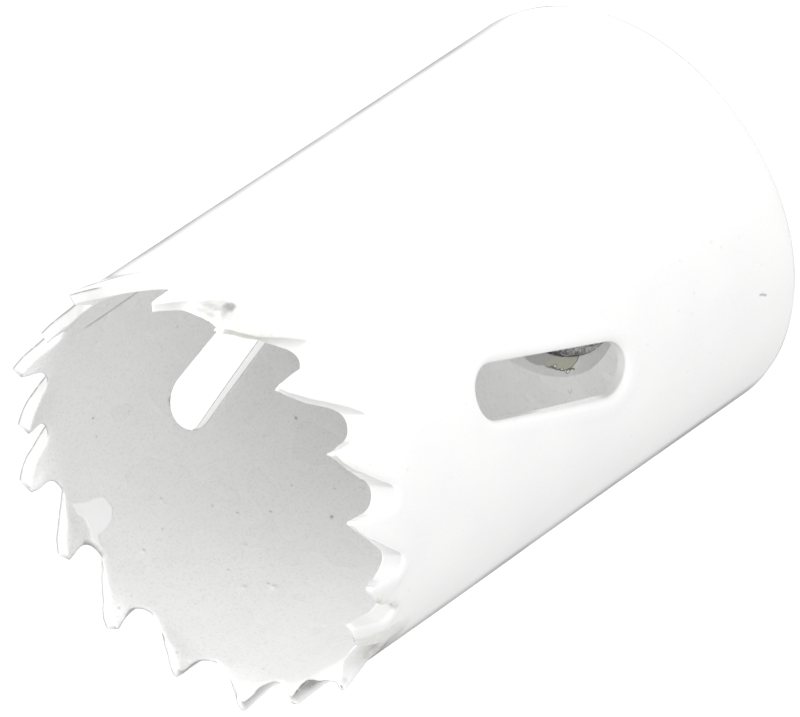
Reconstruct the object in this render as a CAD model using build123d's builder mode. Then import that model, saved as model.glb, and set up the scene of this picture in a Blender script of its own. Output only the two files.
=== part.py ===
"""Hole saw, 32 mm class: a rolled and butt-welded toothed shell on a thick
turned cap with a 5/8"-18 UNF arbor thread.

Frame: origin at the centre of the back face, +Z along the axis towards the
teeth, +X through the middle of the first chip slot.  Millimetres.
"""
from build123d import *
import math
import os

os.makedirs("parts", exist_ok=True)

# ---------------------------------------------------------------- dimensions
SHELL_R = 15.65          # outer radius of the shell
WALL = 1.20              # strip thickness
SHELL_IR = SHELL_R - WALL
LENGTH = 47.5            # back face to tooth tips
BACK_ROUND = 1.0         # rounding of the shell's back outer edge

CAP_T = 11.05            # cap thickness
BORE_R = 7.20            # 5/8"-18 UNF internal thread, minor radius
SINK_R = 8.12            # countersink radius at the cap's inner face
SINK_H = 1.32            # depth of the inner countersink
LEAD_IN = 0.95           # 45 degree lead-in at the back face

SLOT_W = 4.24            # chip slot width
SLOT_L = 15.0            # chip slot length overall
SLOT_Z = 26.45           # slot centre above the back face
SLOT_LEAN = 18.3         # lean of the slots from the axis, top towards +azimuth
SLOT_AZ = (0.0, 178.2)   # azimuths of the slot centres

BEND_H = 3.0             # height over which a tooth is set
BEND_Z = LENGTH - BEND_H
SET = 0.47               # set of a tooth tip to either side
RELIEF_1 = 21.0          # primary relief angle behind the tip
RELIEF_2 = 38.0          # secondary relief angle
LAND_1 = 1.05            # tangential length of the primary relief
LAND_2 = 0.75            # tangential length of the secondary relief
TIP_LAND = 0.12          # flat left on a tooth's tip
HOOK = 0.12              # undercut of the rake face at the gullet

# Teeth in order, each (azimuth of the tip, set, gullet depth ahead of it).
# The saw cuts clockwise seen from the drill: a tooth's rake face looks
# towards +azimuth and its relief falls away towards -azimuth.
TEETH = [
    (38.98, -1, 4.0), (17.38, 1, 3.9), (-1.92, -1, 3.9), (-19.72, 1, 4.0),
    (-35.22, -1, 3.5), (-53.52, 1, 3.5), (-72.12, 0, 3.6), (-91.52, 1, 3.6),
    (-113.72, -1, 4.1), (-137.12, 0, 4.0), (-160.32, -1, 4.0),
    (-182.22, 1, 3.9), (-199.22, -1, 3.6), (-215.32, 1, 3.5),
    (-231.12, -1, 3.5), (-248.92, 1, 3.5), (-277.22, -1, 4.0),
    (-300.72, 1, 3.9),
]
GULLET_R = 1.10          # root radius of a gullet


def gullet_points(pitch_deg, depth):
    """Corner points of one gullet in the tangent plane, tip to tip.

    u runs towards -azimuth from the tip of the tooth whose relief starts the
    gullet to the tip of the next tooth; w is measured down from the tips.
    """
    half = SHELL_R * math.sin(math.radians(pitch_deg / 2.0))
    width = 2.0 * half
    l1 = min(LAND_1, 0.26 * width)
    l2 = min(LAND_2, 0.18 * width)
    u1, w1 = l1, l1 * math.tan(math.radians(RELIEF_1))
    u2, w2 = u1 + l2, w1 + l2 * math.tan(math.radians(RELIEF_2))
    r = min(GULLET_R, 0.24 * width)
    cu, cw = width - r + HOOK, depth - r
    # straight flank from (u2, w2), tangent to the root circle
    du, dw = cu - u2, cw - w2
    dist = math.hypot(du, dw)
    ang = math.atan2(dw, du) + math.asin(r / dist)
    tu, tw = cu - r * math.sin(ang), cw + r * math.cos(ang)
    # arc from the flank tangent point, through the root, to the rake side
    a0, a1 = math.pi / 2.0 + ang, 0.0
    am = (a0 + a1) / 2.0
    return (half, u1, w1, u2, w2, tu, tw,
            cu + r * math.cos(am), cw + r * math.sin(am), cu + r, cw, width)


# ---------------------------------------------------------------- saw shell
COUNT = len(TEETH)
azimuths = [t[0] for t in TEETH]
sets = [t[1] for t in TEETH]

with BuildPart() as saw_shell:
    # rolled strip, its toothed edge first as wide as the set reaches
    with BuildSketch(Plane.XZ):
        with BuildLine():
            Polyline((SHELL_IR, 0), (SHELL_R, 0), (SHELL_R, BEND_Z),
                     (SHELL_R + SET, LENGTH), (SHELL_IR - SET, LENGTH),
                     (SHELL_IR, BEND_Z), close=True)
        make_face()
    revolve(axis=Axis.Z)
    fillet(saw_shell.edges().filter_by(GeomType.CIRCLE)
           .filter_by(lambda e: abs(e.center().Z) < 1e-6
                      and e.radius > SHELL_IR + 0.5 * WALL), BACK_ROUND)

    # chip slots
    for az in SLOT_AZ:
        a = math.radians(az)
        out = Vector(math.cos(a), math.sin(a), 0)
        face = Plane(origin=out * (SHELL_IR - 2.0) + Vector(0, 0, SLOT_Z),
                     x_dir=Vector(-math.sin(a), math.cos(a), 0), z_dir=out)
        with BuildSketch(face):
            SlotOverall(SLOT_L, SLOT_W, rotation=90.0 - SLOT_LEAN)
        extrude(amount=WALL + 4.0, mode=Mode.SUBTRACT)

    # gullets, milled radially through the edge
    for i in range(COUNT):
        az = azimuths[i]
        after = azimuths[i + 1] if i < COUNT - 1 else azimuths[0] - 360.0
        depth = TEETH[(i + 1) % COUNT][2]
        (half, u1, w1, u2, w2, tu, tw, mu, mw, ru, rw, width) = \
            gullet_points(az - after, depth)
        mid_az = math.radians((az + after) / 2.0)
        out = Vector(math.cos(mid_az), math.sin(mid_az), 0)
        # x of the plane runs towards -azimuth, z outwards
        face = Plane(origin=out * (SHELL_IR - 3.0) + Vector(0, 0, LENGTH),
                     x_dir=Vector(math.sin(mid_az), -math.cos(mid_az), 0),
                     z_dir=out)
        up = face.y_dir.Z          # +1 or -1: sense of the plane's y axis
        with BuildSketch(face):
            with BuildLine():
                def at(u, w):
                    return (u - half, -w * up)
                Polyline(at(TIP_LAND, 0), at(u1, w1), at(u2, w2), at(tu, tw))
                ThreePointArc(at(tu, tw), at(mu, mw), at(ru, rw))
                Polyline(at(ru, rw), at(width, 0.0), at(width, -1.5),
                         at(TIP_LAND, -1.5), at(TIP_LAND, 0))
            make_face()
        extrude(amount=WALL + 6.0, mode=Mode.SUBTRACT)

    # set: pare each tooth to the strip's thickness, leaning in, out or not
    for i in range(COUNT):
        az = azimuths[i]
        before = azimuths[i - 1] if i else azimuths[-1] + 360.0
        after = azimuths[i + 1] if i < COUNT - 1 else azimuths[0] - 360.0
        hi = az + 0.22 * (before - az)
        lo = after + 0.22 * (az - after)
        lean = SET * sets[i] * (BEND_H + 1.0) / BEND_H
        a = math.radians(lo)
        radial = Plane(origin=(0, 0, 0), x_dir=(math.cos(a), math.sin(a), 0),
                       z_dir=(math.sin(a), -math.cos(a), 0))
        if sets[i] >= 0:
            with BuildSketch(radial):
                with BuildLine():
                    Polyline((SHELL_IR, BEND_Z),
                             (SHELL_IR + lean, LENGTH + 1.0),
                             (SHELL_IR - 2.0, LENGTH + 1.0),
                             (SHELL_IR - 2.0, BEND_Z), close=True)
                make_face()
            revolve(axis=Axis.Z, revolution_arc=hi - lo, mode=Mode.SUBTRACT)
        if sets[i] <= 0:
            with BuildSketch(radial):
                with BuildLine():
                    Polyline((SHELL_R, BEND_Z),
                             (SHELL_R + 2.0, BEND_Z),
                             (SHELL_R + 2.0, LENGTH + 1.0),
                             (SHELL_R + lean, LENGTH + 1.0), close=True)
                make_face()
            revolve(axis=Axis.Z, revolution_arc=hi - lo, mode=Mode.SUBTRACT)

saw_shell.part.label = "saw_shell"
export_step(saw_shell.part, "parts/saw_shell.step")

# ---------------------------------------------------------------- arbor cap
with BuildPart() as arbor_cap:
    with BuildSketch(Plane.XZ):
        with BuildLine():
            Polyline((BORE_R + LEAD_IN, 0.0), (SHELL_IR, 0.0),
                     (SHELL_IR, CAP_T), (SINK_R, CAP_T),
                     (BORE_R, CAP_T - SINK_H), (BORE_R, LEAD_IN), close=True)
        make_face()
    revolve(axis=Axis.Z)

arbor_cap.part.label = "arbor_cap"
export_step(arbor_cap.part, "parts/arbor_cap.step")

for piece in (saw_shell, arbor_cap):
    print(piece.part.label, "solids", len(piece.part.solids()),
          "volume", round(piece.part.volume, 1))
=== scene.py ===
import math

import bpy
import numpy as np
from mathutils import Matrix, Vector
from mathutils.geometry import delaunay_2d_cdt


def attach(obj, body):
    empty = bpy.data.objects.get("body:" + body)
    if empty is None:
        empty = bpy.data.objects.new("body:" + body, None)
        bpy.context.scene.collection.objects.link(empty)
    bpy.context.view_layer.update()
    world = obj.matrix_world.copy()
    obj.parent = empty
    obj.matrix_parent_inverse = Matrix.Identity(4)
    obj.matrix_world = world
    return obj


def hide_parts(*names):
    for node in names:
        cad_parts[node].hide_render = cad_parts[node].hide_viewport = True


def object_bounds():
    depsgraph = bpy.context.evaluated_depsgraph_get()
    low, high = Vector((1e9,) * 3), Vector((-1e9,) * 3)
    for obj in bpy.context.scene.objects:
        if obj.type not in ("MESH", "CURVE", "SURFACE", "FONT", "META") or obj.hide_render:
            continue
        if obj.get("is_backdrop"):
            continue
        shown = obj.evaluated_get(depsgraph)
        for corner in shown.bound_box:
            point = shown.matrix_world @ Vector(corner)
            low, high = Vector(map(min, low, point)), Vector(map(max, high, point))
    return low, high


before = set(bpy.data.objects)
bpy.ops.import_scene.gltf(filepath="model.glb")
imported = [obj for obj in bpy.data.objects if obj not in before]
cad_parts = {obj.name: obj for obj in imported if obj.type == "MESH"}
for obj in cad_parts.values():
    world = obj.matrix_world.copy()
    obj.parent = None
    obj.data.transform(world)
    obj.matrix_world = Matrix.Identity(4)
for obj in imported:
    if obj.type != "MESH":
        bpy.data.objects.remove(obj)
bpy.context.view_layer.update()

MM = 0.001

# ------------------------------------------------------------------ sizes
R_OUT = 15.63            # painted outer radius
R_IN = 14.45             # inner radius
R_MID = 15.05            # radius at which arc lengths are counted
LENGTH = 47.5
BACK_ROUND = 1.0
CAP_T = 11.05
BORE_R = 7.20
THREAD_R = 7.94
PITCH = 25.4 / 18.0
SINK_R = 8.12
SINK_H = 1.32
LEAD_IN = 0.95
SLOT_LEAN = 18.3
SLOTS = ((-0.85, 26.11, 15.24, 3.94), (178.2, 26.31, 14.72, 4.24))   # azimuth, height, length, width
RHO = 0.30               # rounding of the painted edges
RHO_SLOT = (0.50, 0.14)  # the paint lies thicker round one slot than the other
BEND_Z = 44.1            # where the teeth start to lean

# Teeth in order towards -azimuth: azimuth of the tip, lean of the strip's
# middle at the tip, then the gullet ahead of the tooth: its depth and undercut
# on the outer skin, and the same on the inner skin; last, how far the inner
# skin comes outwards at the tip and how far its corner is swept along.
TEETH = [
    (38.98, -0.47, 4.5, -0.10, 3.50, 0.00, 0.52, 0.0), (17.38, 0.52, 4.6, 0.35, 3.50, 0.05, 0.52, 0.0),
    (-1.92, -0.50, 4.4, 0.60, 3.0, 0.20, 0.52, 0.0), (-20.10, 0.50, 4.1, 0.75, 3.0, 0.75, 0.52, 0.0),
    (-35.22, -0.60, 3.7, 0.80, 3.1, 0.30, 0.45, 0.0), (-53.52, 0.95, 4.1, 0.35, 3.1, 0.10, 0.45, 0.0),
    (-72.12, 0.06, 4.0, 0.20, 2.0, 0.10, 0.35, 0.0), (-91.52, 0.42, 3.9, 0.10, 2.1, -0.55, 0.25, -0.2),
    (-113.72, -0.36, 4.0, 0.10, 2.55, -0.22, 0.22, -0.4), (-137.12, 0.20, 4.0, 0.10, 2.9, 0.05, 0.22, -0.55),
    (-159.70, -0.38, 3.9, 0.10, 2.8, -0.10, 0.25, -0.50), (-180.70, 0.45, 3.6, 0.10, 2.35, -0.25, 0.15, -0.60),
    (-197.90, -0.30, 3.5, 0.10, 2.35, -0.20, 0.0, -0.30), (-213.80, 0.55, 3.5, 0.10, 2.25, 0.0, 0.12, 0.0),
    (-231.12, -0.30, 3.5, 0.10, 2.5, 0.0, 0.20, 0.0), (-248.92, 0.66, 3.7, 0.10, 2.7, 0.0, 0.20, 0.0),
    (-277.22, -0.47, 3.7, 0.20, 3.0, 0.0, 0.40, 0.0), (-300.72, 0.30, 3.3, -0.55, 1.15, -0.6, 0.45, 0.0),
]
RELIEF_OUT, RELIEF_IN = (28.0, 43.0), (32.0, 44.0)
LAND_1, LAND_2 = 1.00, 0.75
GULLET_OUT, GULLET_IN = 0.85, 1.25

rng = np.random.default_rng(32)


# ------------------------------------------------------------ small helpers
def smooth(t):
    t = np.clip(t, 0.0, 1.0)
    return t * t * (3 - 2 * t)


def gully(width, depth, r, hook, relief, lands=(LAND_1, LAND_2)):
    """One gullet from tip to tip in five runs; u along the edge, w below the tips."""
    l1 = min(lands[0], 0.26 * width)
    l2 = min(lands[1], 0.30 * width)
    u1, w1 = l1, l1 * math.tan(math.radians(relief[0]))
    u2, w2 = u1 + l2, w1 + l2 * math.tan(math.radians(relief[1]))
    r = min(r, 0.27 * width)
    cu, cw = width - r + hook, depth - r
    du, dw = cu - u2, cw - w2
    dist = math.hypot(du, dw)
    ang = math.atan2(dw, du) + math.asin(min(0.98, r / dist))
    a0 = math.pi / 2 + ang
    arc = np.array([(cu + r * math.cos(a), cw + r * math.sin(a)) for a in np.linspace(a0, 0.0, 40)])
    corners = [(0.10, 0.0), (u1, w1), (u2, w2), tuple(arc[0])]
    runs = [np.array([corners[k], corners[k + 1]]) for k in range(3)]
    runs.append(arc)
    runs.append(np.array([tuple(arc[-1]), (width, 0.10), (width + 0.10, 0.0)]))
    return runs


def dense(poly, step, closed):
    """The polyline resampled at an even step."""
    p = np.vstack([poly, poly[:1]]) if closed else np.asarray(poly)
    seg = np.hypot(*np.diff(p, axis=0).T)
    s = np.r_[0, np.cumsum(seg)]
    n = max(8, int(round(s[-1] / step)))
    t = np.linspace(0, s[-1], n, endpoint=not closed)
    return np.c_[np.interp(t, s, p[:, 0]), np.interp(t, s, p[:, 1])]


CIRC = 2 * math.pi * R_MID


def soften(loop, sigma, step, wrap):
    """Gaussian smoothing of a closed loop; wrap is what one turn adds to u."""
    n = len(loop)
    k = int(math.ceil(3 * sigma / step))
    w = np.exp(-0.5 * (np.arange(-k, k + 1) * step / sigma) ** 2)
    w /= w.sum()
    ext = np.vstack([loop[-k:] - [wrap, 0], loop, loop[:k] + [wrap, 0]])
    return np.stack([np.convolve(ext[:, i], w, "valid") for i in (0, 1)], 1)


# ---------------------------------------------- outline of the toothed edge
# x = azimuth * R_MID along the edge (falling), y = height above the back face
def run_points(run, n):
    seg = np.hypot(*np.diff(run, axis=0).T)
    t = np.r_[0, np.cumsum(seg)] / seg.sum()
    e = np.arange(n) / n
    return np.c_[np.interp(e, t, run[:, 0]), np.interp(e, t, run[:, 1])]


both = [[], []]
for i, tooth in enumerate(TEETH):
    nxt = TEETH[(i + 1) % len(TEETH)]
    after = nxt[0] - (360.0 if i == len(TEETH) - 1 else 0.0)
    width = math.radians(tooth[0] - after) * R_MID
    steep, steep_in = (9.0, 19.0) if i == 17 else (0.0, 0.0)
    land = (LAND_1, min(LAND_2, 0.18 * width))
    drop_out = {3: (26.0, 38.0), 4: (21.0, 33.0)}.get(i, (RELIEF_OUT[0] + steep, RELIEF_OUT[1]))
    land_out = {3: (1.0, 0.95), 4: (1.5, 1.7)}.get(i, land)
    ro = gully(width, nxt[2], GULLET_OUT, nxt[3], drop_out, land_out)
    ri = gully(width, nxt[4], GULLET_IN, nxt[5], (RELIEF_IN[0] + steep_in, RELIEF_IN[1] + steep_in / 3), land)
    x0 = -math.radians(tooth[0]) * R_MID
    for a, b in zip(ro, ri):
        la = np.hypot(*np.diff(a, axis=0).T).sum()
        lb = np.hypot(*np.diff(b, axis=0).T).sum()
        n = max(3, int(round((la + lb) / 2 / 0.05)))
        for k, run in enumerate((a, b)):
            p = run_points(run, n)
            both[k].append(np.c_[x0 + p[:, 0], LENGTH + 0.04 - p[:, 1]])
edge_out = soften(np.vstack(both[0]), 0.14, 0.05, CIRC)
edge_in = soften(np.vstack(both[1]), 0.14, 0.05, CIRC)
for tooth in TEETH:
    dx = edge_in[:, 0] + math.radians(tooth[0]) * R_MID
    dx -= np.round(dx / CIRC) * CIRC
    edge_in[:, 0] += tooth[7] * np.exp(-(dx / 1.3) ** 2) * smooth((edge_in[:, 1] - 45.4) / 2.1)
edge = (edge_out + edge_in) / 2
split = (edge_out - edge_in) / 2
# slight waviness of the paint along the edge
phase = rng.uniform(0, 6.28, 9)
s_edge = np.arange(len(edge)) / len(edge) * 2 * math.pi
wave = sum(math.pow(0.8, k) * np.sin(s_edge * (37 + 23 * k) + phase[k]) for k in range(9))
tang = np.roll(edge, -1, 0) - np.roll(edge, 1, 0)
tang[0] += [CIRC, 0]; tang[-1] += [CIRC, 0]
tang /= np.hypot(*tang.T)[:, None]
norm = np.c_[tang[:, 1], -tang[:, 0]]
edge = edge + norm * (0.012 * wave)[:, None]
edge[:, 1] = np.minimum(edge[:, 1], LENGTH - 0.005 - np.abs(split[:, 1]))


def slot_loop(az, z, length, wide):
    """Outline of a leaning chip slot, counted the same way as the edge."""
    half = (length - wide) / 2
    r = wide / 2
    a = np.linspace(-90, 90, 40)
    top = np.c_[r * np.sin(np.radians(a)), half + r * np.cos(np.radians(a))]
    pts = np.vstack([top, -top])
    c, s = math.cos(math.radians(SLOT_LEAN)), math.sin(math.radians(SLOT_LEAN))
    # lean: the slot's top towards +azimuth, which is -x here
    x = pts[:, 0] * c - pts[:, 1] * s
    y = pts[:, 0] * s + pts[:, 1] * c
    loop = dense(np.c_[x, y], 0.14, True)
    return loop + [-math.radians(az) * R_MID, z]


slots = [slot_loop(*a) for a in SLOTS]


def to_plane(p):
    """Conformal map of the strip onto a ring, so that it closes on itself."""
    e = np.exp((p[:, 1] - LENGTH) / R_MID) * 10.0
    a = p[:, 0] / R_MID
    return np.c_[e * np.cos(a), e * np.sin(a)]


def seg_distance(q, loop, wrap):
    """Distance of points q from a closed loop of segments, and the foot's index."""
    a = loop
    b = np.roll(loop, -1, 0).copy()
    if wrap:
        b[-1] += [wrap, 0]
    ab = b - a
    L2 = (ab ** 2).sum(1)
    best = np.full(len(q), 1e9)
    idx = np.zeros(len(q), int)
    for i in range(0, len(q), 1500):
        d = q[i:i + 1500, None, :] - a[None]
        if wrap:
            d[..., 0] -= np.round(d[..., 0] / wrap) * wrap
        t = np.clip((d * ab).sum(2) / L2, 0, 1)
        e = ((d - t[..., None] * ab) ** 2).sum(2)
        k = e.argmin(1)
        idx[i:i + 1500] = k
        best[i:i + 1500] = np.sqrt(e[np.arange(len(k)), k])
    return best, idx


def sample(loop, step, wrap, extra=None):
    """Every so many points of a dense loop, with what is carried along it."""
    n = len(loop)
    seg = np.roll(loop, -1, 0) - loop
    if wrap:
        seg[-1] += [wrap, 0]
    s = np.r_[0, np.cumsum(np.hypot(*seg.T))]
    m = int(round(s[-1] / step))
    t = np.linspace(0, s[-1], m, endpoint=False)
    ext = np.vstack([loop, loop[:1] + [wrap, 0]])
    out = np.c_[np.interp(t, s, ext[:, 0]), np.interp(t, s, ext[:, 1])]
    if extra is None:
        return out
    ext = np.vstack([extra, extra[:1]])
    return out, np.c_[np.interp(t, s, ext[:, 0]), np.interp(t, s, ext[:, 1])]


def loop_normals(loop, wrap):
    t = np.roll(loop, -1, 0) - np.roll(loop, 1, 0)
    if wrap:
        t[0] += [wrap, 0]; t[-1] += [wrap, 0]
    t /= np.hypot(*t.T)[:, None]
    return np.c_[t[:, 1], -t[:, 0]]


edge_s, split_s = sample(edge, 0.125, CIRC, split)
slot_s = [sample(s, 0.16, 0) for s in slots]
n_back = 260
back_s = np.c_[np.arange(n_back) / n_back * CIRC, np.zeros(n_back)]
loops = [edge_s] + slot_s + [back_s]
wraps = [CIRC, 0, 0, CIRC]

# lean of the teeth: each owns the edge from gullet to gullet
tips = np.array([t[0] for t in TEETH])
leans = np.array([t[1] for t in TEETH])


def lean_at(azd, y):
    out = np.zeros(len(azd))
    best = np.full(len(azd), 1e9)
    for i in range(len(TEETH)):
        before = tips[i - 1] if i else tips[-1] + 360
        after = tips[(i + 1) % len(TEETH)] - (360 if i == len(TEETH) - 1 else 0)
        hi = tips[i] + 0.16 * (before - tips[i])
        lo = after + 0.16 * (tips[i] - after)
        mid, half = (hi + lo) / 2, (hi - lo) / 2
        off = np.abs((azd - mid + 180) % 360 - 180) - half
        own = 1 - smooth((off + 0.9) / 1.8)
        out += leans[i] * own
    return out * np.clip((y - BEND_Z) / (LENGTH - BEND_Z), 0, 1.1) ** 1.25



def split_at(q, d):
    """Half the offset between the skins' outlines, fading away from the edge."""
    out = np.zeros((len(q), 2))
    for i in range(0, len(q), 2000):
        e = q[i:i + 2000, None, :] - edge_s[None]
        e[..., 0] -= np.round(e[..., 0] / CIRC) * CIRC
        w = 1.0 / ((e ** 2).sum(2) + 0.02) ** 2
        out[i:i + 2000] = (w @ split_s) / w.sum(1)[:, None]
    return out * smooth(1 - d / 3.6)[:, None]


def tipness(y):
    return smooth((y - 45.7) / (LENGTH - 45.7))


def taper_at(azd):
    """How far the inner skin comes outwards at the tip of the tooth at an azimuth."""
    o = np.argsort(tips)
    t = np.array([t[6] for t in TEETH])[o]
    x = tips[o]
    x = np.r_[x[-1] - 360, x, x[0] + 360]
    return np.interp((azd - x[1]) % 360 + x[1], x, np.r_[t[-1], t, t[0]])


def skin_points(p, side, drop):
    """Points of the outer or inner skin's edge, in space."""
    sp = split_at(p, np.zeros(len(p)))
    q = p + sp if side == "out" else p - sp
    a = -q[:, 0] / R_MID
    le = lean_at(np.degrees(-p[:, 0] / R_MID), p[:, 1])
    tn = tipness(q[:, 1])
    drop = drop * (1 - 0.5 * tn)
    tap = taper_at(np.degrees(-p[:, 0] / R_MID)) * tn
    r = (R_OUT - drop if side == "out" else R_IN + drop + tap) + le
    return np.c_[r * np.cos(a), r * np.sin(a), q[:, 1]]


# END OF OUTLINE
# rings of points just inside each edge, where the paint rounds over
ANG = np.radians([22.5, 45, 67.5, 90])
FRACT = 1 - np.cos(ANG)


def area_sign(loop):
    x, y = loop.T
    return np.sign((x * np.roll(y, -1) - np.roll(x, -1) * y).sum())


pts = []
n_edge = loop_normals(edge_s, CIRC)         # travels +x: right-hand normal points down
ring_sets = []
for f in FRACT:
    ring_sets.append((edge_s + n_edge * f * RHO, f * RHO, 0.125))
for s in slot_s:
    n = loop_normals(s, 0) * area_sign(s)   # away from the slot's middle
    for f in FRACT:
        ring_sets.append((s + n * f * 0.40, f * 0.40, 0.16))


def dist_all(q):
    d = seg_distance(q, edge_s, CIRC)[0]
    for s in slot_s:
        c = s.mean(0)
        near = np.abs((q[:, 0] - c[0] + CIRC / 2) % CIRC - CIRC / 2) < 8
        near &= np.abs(q[:, 1] - c[1]) < 12
        if near.any():
            qq = q[near].copy()
            qq[:, 0] = c[0] + (qq[:, 0] - c[0] + CIRC / 2) % CIRC - CIRC / 2
            d[near] = np.minimum(d[near], seg_distance(qq, s, 0)[0])
    return d


def in_slot(q):
    out = np.zeros(len(q), bool)
    c0, s0 = math.cos(math.radians(SLOT_LEAN)), math.sin(math.radians(SLOT_LEAN))
    for az, z, length, wide in SLOTS:
        x = (q[:, 0] + math.radians(az) * R_MID + CIRC / 2) % CIRC - CIRC / 2
        y = q[:, 1] - z
        a, b = x * c0 + y * s0, -x * s0 + y * c0
        half = (length - wide) / 2
        out |= np.hypot(a, np.maximum(np.abs(b) - half, 0)) < wide / 2
    return out


def below_edge(q):
    """Inside the toothed edge: an even-odd count of crossings above the point."""
    x = q[:, 0] % CIRC
    a = edge_s
    b = np.roll(edge_s, -1, 0).copy()
    b[-1] += [CIRC, 0]
    cnt = np.zeros(len(q), int)
    for sh in (-2 * CIRC, -CIRC, 0, CIRC, 2 * CIRC):
        ax, bx = a[:, 0] + sh, b[:, 0] + sh
        ok = (np.maximum(ax, bx) > 0) & (np.minimum(ax, bx) < CIRC)
        A, B, AX, BX = a[ok], b[ok], ax[ok], bx[ok]
        for i in range(0, len(q), 4000):
            xx = x[i:i + 4000, None]
            cr = (AX[None] > xx) != (BX[None] > xx)
            t = (xx - AX) / np.where(BX == AX, 1e-9, BX - AX)
            yy = A[:, 1] + t * (B[:, 1] - A[:, 1])
            cnt[i:i + 4000] += (cr & (yy > q[i:i + 4000, 1:2])).sum(1)
    return cnt % 2 == 1


kept = []
for q, dn, sp in ring_sets:
    d = dist_all(q)
    kept.append(q[(d > dn * 0.86) & below_edge(q) & ~in_slot(q)])
for f in FRACT:
    kept.append(np.c_[back_s[:, 0], np.full(n_back, f * BACK_ROUND)])
# inside the cap's reach the wall needs few points
kept.append(np.c_[(np.arange(n_back) + 0.5) / n_back * CIRC, np.full(n_back, 1.35)])

# graded points over the rest of the wall
prev = 0.0
levels = [(0.13, RHO + 0.07, 0.50), (0.19, 0.50, 0.95), (0.28, 0.95, 1.7),
          (0.42, 1.7, 3.0), (0.62, 3.0, 99.0)]
for sp, lo, hi in levels:
    nx = int(round(CIRC / sp))
    sx = CIRC / nx
    sy = sx * math.sqrt(3) / 2
    y_lo = 1.9
    ny = int((LENGTH - y_lo) / sy) + 1
    gx, gy = np.meshgrid(np.arange(nx), np.arange(ny))
    q = np.c_[((gx + 0.5 * (gy % 2)) * sx).ravel(), (y_lo + gy * sy).ravel()]
    if lo < 3:      # skip what is surely far from every edge
        c0, s0 = math.cos(math.radians(SLOT_LEAN)), math.sin(math.radians(SLOT_LEAN))
        keep = q[:, 1] > 42.8 - hi
        for az, z, length, wide in SLOTS:
            x = (q[:, 0] + math.radians(az) * R_MID + CIRC / 2) % CIRC - CIRC / 2
            y = q[:, 1] - z
            keep |= (np.abs(x * c0 + y * s0) < wide / 2 + hi) & \
                    (np.abs(-x * s0 + y * c0) < length / 2 + hi)
        q = q[keep]
    ok = ~in_slot(q)
    q = q[ok]
    hi_y = q[:, 1] > 42.0
    good = np.ones(len(q), bool)
    good[hi_y] = below_edge(q[hi_y])
    q = q[good]
    d = dist_all(q)
    kept.append(q[(d >= lo) & (d < hi)])

# finer points where there is something small to shape: x, y, half sizes, steps
PATCH = np.array([(45.05, 44.50), (44.33, 43.47), (44.17, 42.64), (43.86, 42.03), (42.89, 41.73),
                  (42.20, 42.17), (41.90, 42.97), (41.90, 43.56), (41.38, 43.76), (40.78, 43.83),
                  (41.01, 44.05), (41.90, 44.16), (42.53, 43.97), (43.30, 44.20), (43.97, 44.61)])
SEAM = np.array([(59.30, 8.0), (59.10, 30.0), (58.84, 36.44), (58.66, 38.35), (58.59, 40.16), (58.57, 42.6)])
SPECKS = [(49.44, 40.75, 0.10, 0.0, 0.9), (41.30, 37.73, 0.15, 0.07, 0.3), (39.53, 39.02, 0.09, 0.0, 0.5),
          (38.97, 41.52, 0.15, 0.06, 0.25), (34.20, 37.17, 0.10, 0.03, 0.5), (40.71, 23.60, 0.14, 0.0, 0.8),
          (33.02, 27.22, 0.17, -0.05, 0.7), (37.35, 32.97, 0.11, 0.03, 0.5), (36.01, 30.69, 0.12, 0.04, 0.5),
          (31.05, 35.84, 0.20, 0.10, 0.15), (31.45, 35.90, 0.10, 0.02, 0.6), (32.41, 37.44, 0.22, 0.05, 0.2),
          (34.70, 25.10, 0.13, 0.04, 0.4), (33.63, 23.43, 0.13, 0.06, 0.0), (47.00, 33.10, 0.10, 0.04, 0.3),
          (52.10, 31.50, 0.11, 0.04, 0.3), (35.20, 19.60, 0.10, 0.03, 0.4)]
fine = [(42.95, 43.15, 2.45, 1.75, 0.09, 0.09), (58.70, 39.4, 0.45, 3.4, 0.08, 0.14),
        (59.05, 24.0, 0.45, 12.0, 0.11, 0.40), (4.04, 4.23, 0.50, 0.50, 0.08, 0.08),
        (2.70, 31.0, 0.80, 0.45, 0.08, 0.08)]
fine += [(sx0, sy0, 0.30, 0.30, 0.07, 0.07) for sx0, sy0, *_ in SPECKS]
dense_pts, taken = [], np.vstack(kept)
clear = np.ones(len(taken), bool)
for cx, cy, hx, hy, ax, ay in fine:
    gx, gy = np.meshgrid(np.arange(-hx, hx + 1e-9, ax), np.arange(-hy, hy + 1e-9, ay))
    gx = gx + (np.arange(gx.shape[0]) % 2)[:, None] * ax / 2
    q = np.c_[(cx + gx).ravel(), (cy + gy).ravel()]
    q = q[~in_slot(q)]
    q = q[dist_all(q) > RHO + 0.10]
    dense_pts.append(q)
    ddx = (taken[:, 0] - cx + CIRC / 2) % CIRC - CIRC / 2
    clear &= ~((np.abs(ddx) < hx + ax * 0.8) & (np.abs(taken[:, 1] - cy) < hy + ay * 0.6) & (taken[:, 1] > 1.5))
kept = [taken[clear]] + dense_pts
inner_pts = np.vstack(kept)
flat = np.vstack(loops + [inner_pts])
starts = np.cumsum([0] + [len(l) for l in loops])
cons = []
for k, l in enumerate(loops):
    n = len(l)
    cons += [(starts[k] + i, starts[k] + (i + 1) % n) for i in range(n)]
plane = to_plane(flat)
found = delaunay_2d_cdt([Vector(p) for p in plane.tolist()], cons, [], 0, 1e-7)
faces2d = np.array([f for f in found[2]])
if len(found[0]) != len(flat):
    raise RuntimeError("the triangulation added or merged points")

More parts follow.
